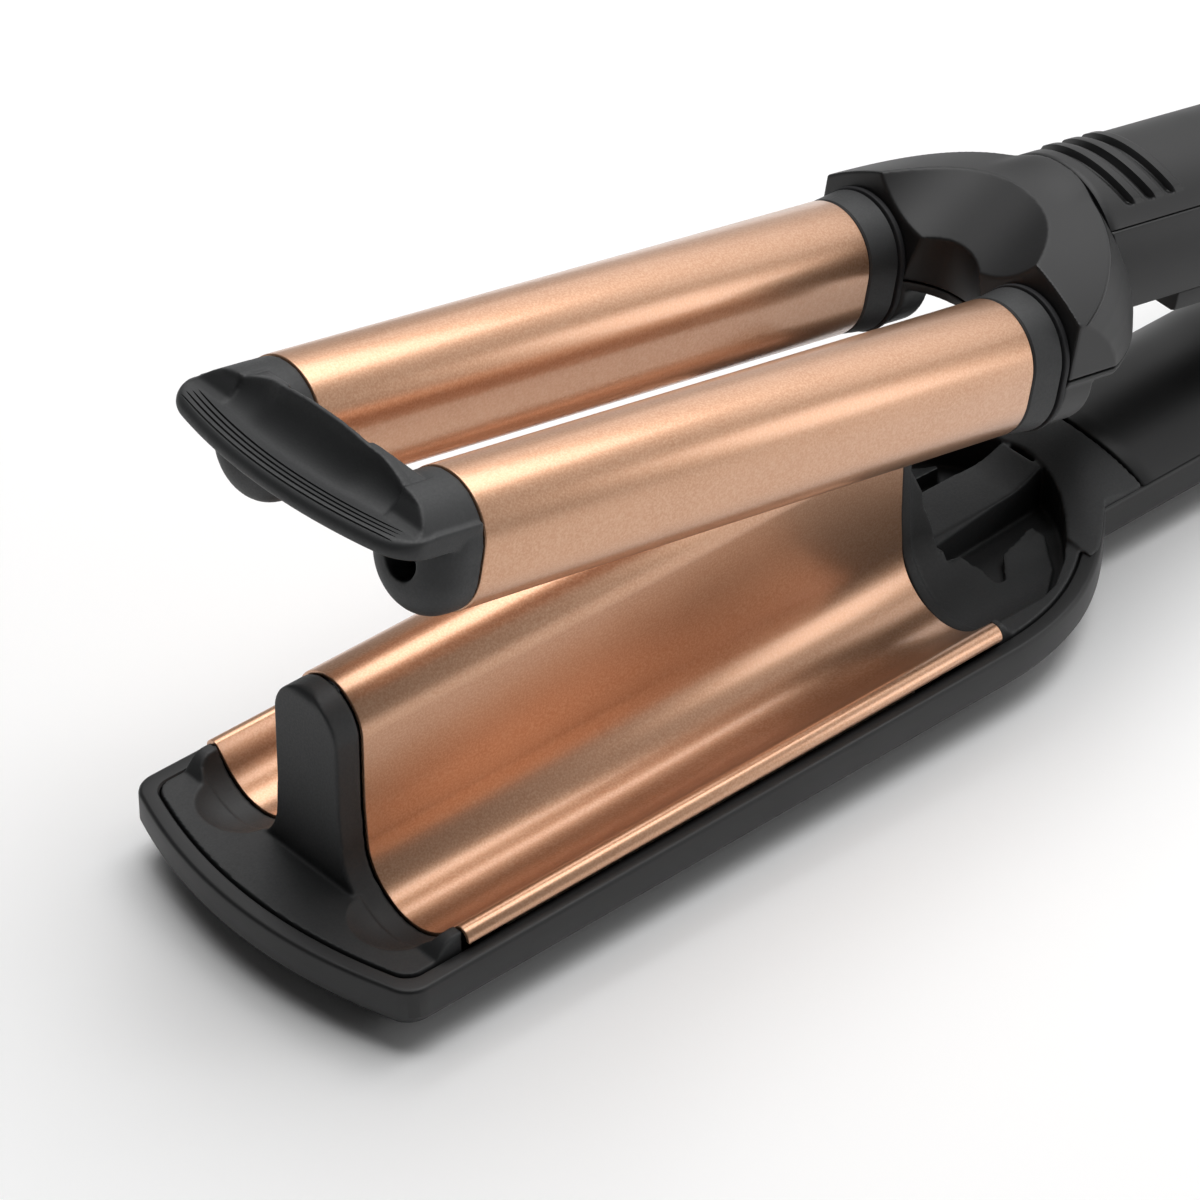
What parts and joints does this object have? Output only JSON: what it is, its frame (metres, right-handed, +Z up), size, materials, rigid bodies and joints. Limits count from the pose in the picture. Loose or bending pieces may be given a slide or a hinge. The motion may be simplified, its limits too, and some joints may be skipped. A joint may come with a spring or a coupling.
{
  "type": "hair waver",
  "caption": "Hair waver: twin heated barrels on a sprung upper jaw close into a wave-shaped heated plate, with a button-controlled grip and a swivelling cord inlet.",
  "frame": {"origin": "under the middle of the whole part's box, on the surface that the lower shell rests on", "axes": "+X runs along the tool from the jaws' front to the hinge and the cord inlet, +Y across it to the far side, +Z up"},
  "size_m": [0.3614, 0.0704, 0.0998],
  "materials": {
    "copper_coat": "satin copper-coloured ceramic coating with a fine metallic grain",
    "matte_black": "matte, finely textured heat-proof plastic",
    "satin_black": "satin black moulded plastic",
    "steel": "plain zinc-plated steel",
    "bare_aluminium": "bare extruded aluminium",
    "ceramic": "white sintered ceramic",
    "board": "green circuit board with its parts",
    "lens": "clear frosted plastic",
    "silicone": "dark silicone rubber"
  },
  "bodies": {
    "lower_jaw": {"lower_shell": "satin_black", "front_insert": "matte_black", "wave_plate": "copper_coat", "rear_insert": "matte_black", "plate_heater_far": "ceramic", "plate_heater_near": "ceramic", "ridge_core": "bare_aluminium", "ridge_heater": "ceramic", "plate_carrier": "matte_black", "plate_thermistor": "ceramic", "thermal_fuse": "steel", "power_board": "board", "lower_handle_cover": "satin_black", "lower_screw_1": "steel", "lower_screw_2": "steel", "stop_pad_far": "silicone", "stop_pad_near": "silicone", "hinge_pin": "steel", "hinge_cap_far": "satin_black", "hinge_cap_near": "satin_black", "hinge_spring": "steel"},
    "upper_jaw": {"barrel_far": "copper_coat", "barrel_near": "copper_coat", "barrel_core_far": "bare_aluminium", "barrel_core_near": "bare_aluminium", "barrel_heater_far": "ceramic", "barrel_heater_near": "ceramic", "barrel_collar_far": "matte_black", "barrel_collar_near": "matte_black", "collar_ring_far": "silicone", "collar_ring_near": "silicone", "front_bridge": "matte_black", "bridge_screw_far": "steel", "bridge_screw_near": "steel", "hub_top": "satin_black", "hub_bottom": "satin_black", "upper_handle_trough": "satin_black", "upper_handle_cap": "satin_black", "upper_screw_1": "steel", "upper_screw_2": "steel", "upper_handle_pad": "satin_black", "control_board": "board", "tact_switch_1": "steel", "tact_switch_2": "steel", "tact_switch_3": "steel", "light_pipe": "lens"},
    "power_key": {"power_button": "matte_black"},
    "heat_up_key": {"heat_up_button": "matte_black"},
    "heat_down_key": {"heat_down_button": "matte_black"},
    "gland": {"cord_gland": "matte_black"}
  },
  "joints": [
    {"name": "jaw_hinge", "type": "hinge", "parent": "lower_jaw", "child": "upper_jaw", "pos_m": [0.15025, 0, 0.02815], "axis": [0, 1, 0], "range_deg": [-11.16, 0], "stiffness_Nm_per_rad": 1.5, "springref_deg": 51.57},
    {"name": "power_press", "type": "slide", "parent": "upper_jaw", "child": "power_key", "axis": [0.1936, 0, 0.9811], "range_m": [-0.0008, 0], "stiffness_N_per_m": 1500, "springref_m": 0.0008},
    {"name": "heat_up_press", "type": "slide", "parent": "upper_jaw", "child": "heat_up_key", "axis": [0.1936, 0, 0.9811], "range_m": [-0.0008, 0], "stiffness_N_per_m": 1500, "springref_m": 0.0008},
    {"name": "heat_down_press", "type": "slide", "parent": "upper_jaw", "child": "heat_down_key", "axis": [0.1936, 0, 0.9811], "range_m": [-0.0008, 0], "stiffness_N_per_m": 1500, "springref_m": 0.0008},
    {"name": "cord_swivel", "type": "hinge", "parent": "lower_jaw", "child": "gland", "pos_m": [0.17, 0, 0.009], "axis": [1, 0, 0], "continuous": true}
  ]
}
